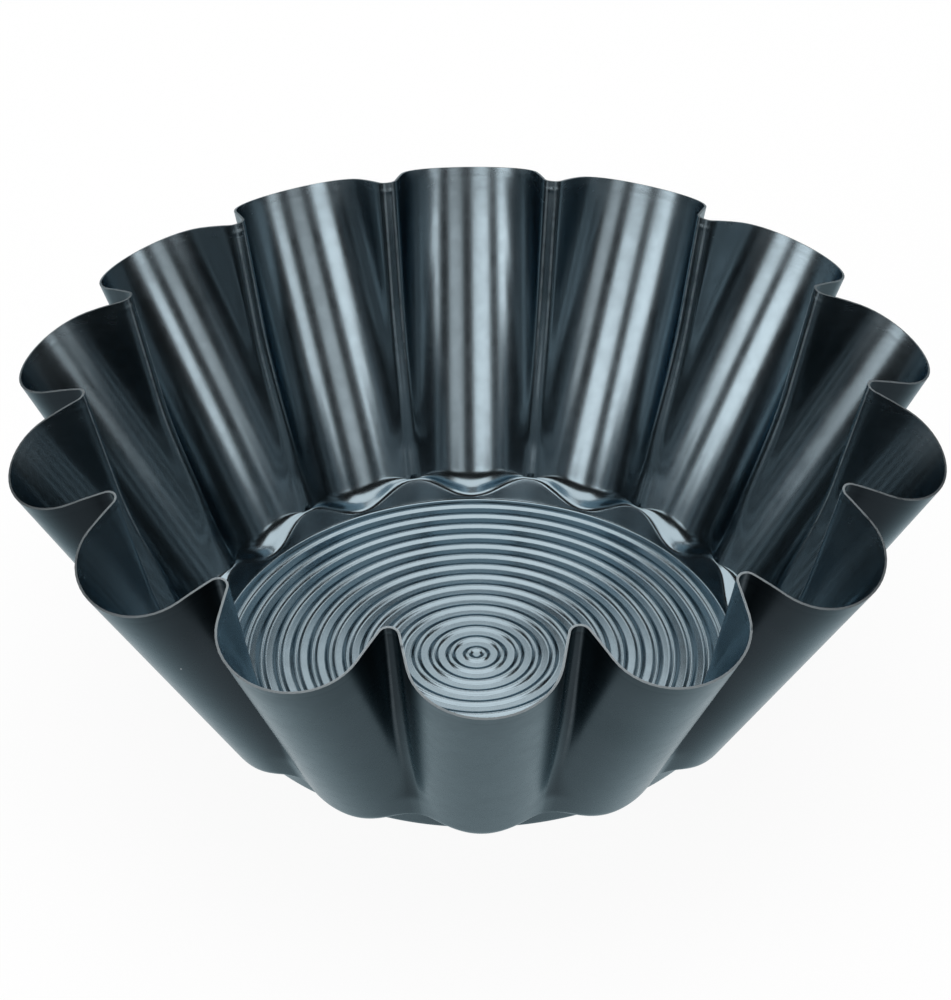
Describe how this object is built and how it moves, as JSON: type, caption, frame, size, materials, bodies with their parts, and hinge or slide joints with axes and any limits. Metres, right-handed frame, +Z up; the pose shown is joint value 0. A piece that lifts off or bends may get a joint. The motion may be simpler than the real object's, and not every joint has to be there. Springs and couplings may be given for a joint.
{
  "type": "brioche mould",
  "caption": "Deep round fluted baking mould with a scalloped rim, pressed from thin steel, dark non-stick inside and a ringed floor.",
  "frame": {"origin": "centre of the base, on the plane that the mould rests on", "axes": "+Z up, out of the open mouth; -Y towards the front, through the crown of one lobe; +X to the right seen from the front"},
  "size_m": [0.2164, 0.221, 0.08],
  "materials": {
    "shell_coating": "satin",
    "lining": "gloss"
  },
  "bodies": {
    "root": {"pressed_shell": "shell_coating", "nonstick_lining": "lining"}
  },
  "joints": []
}
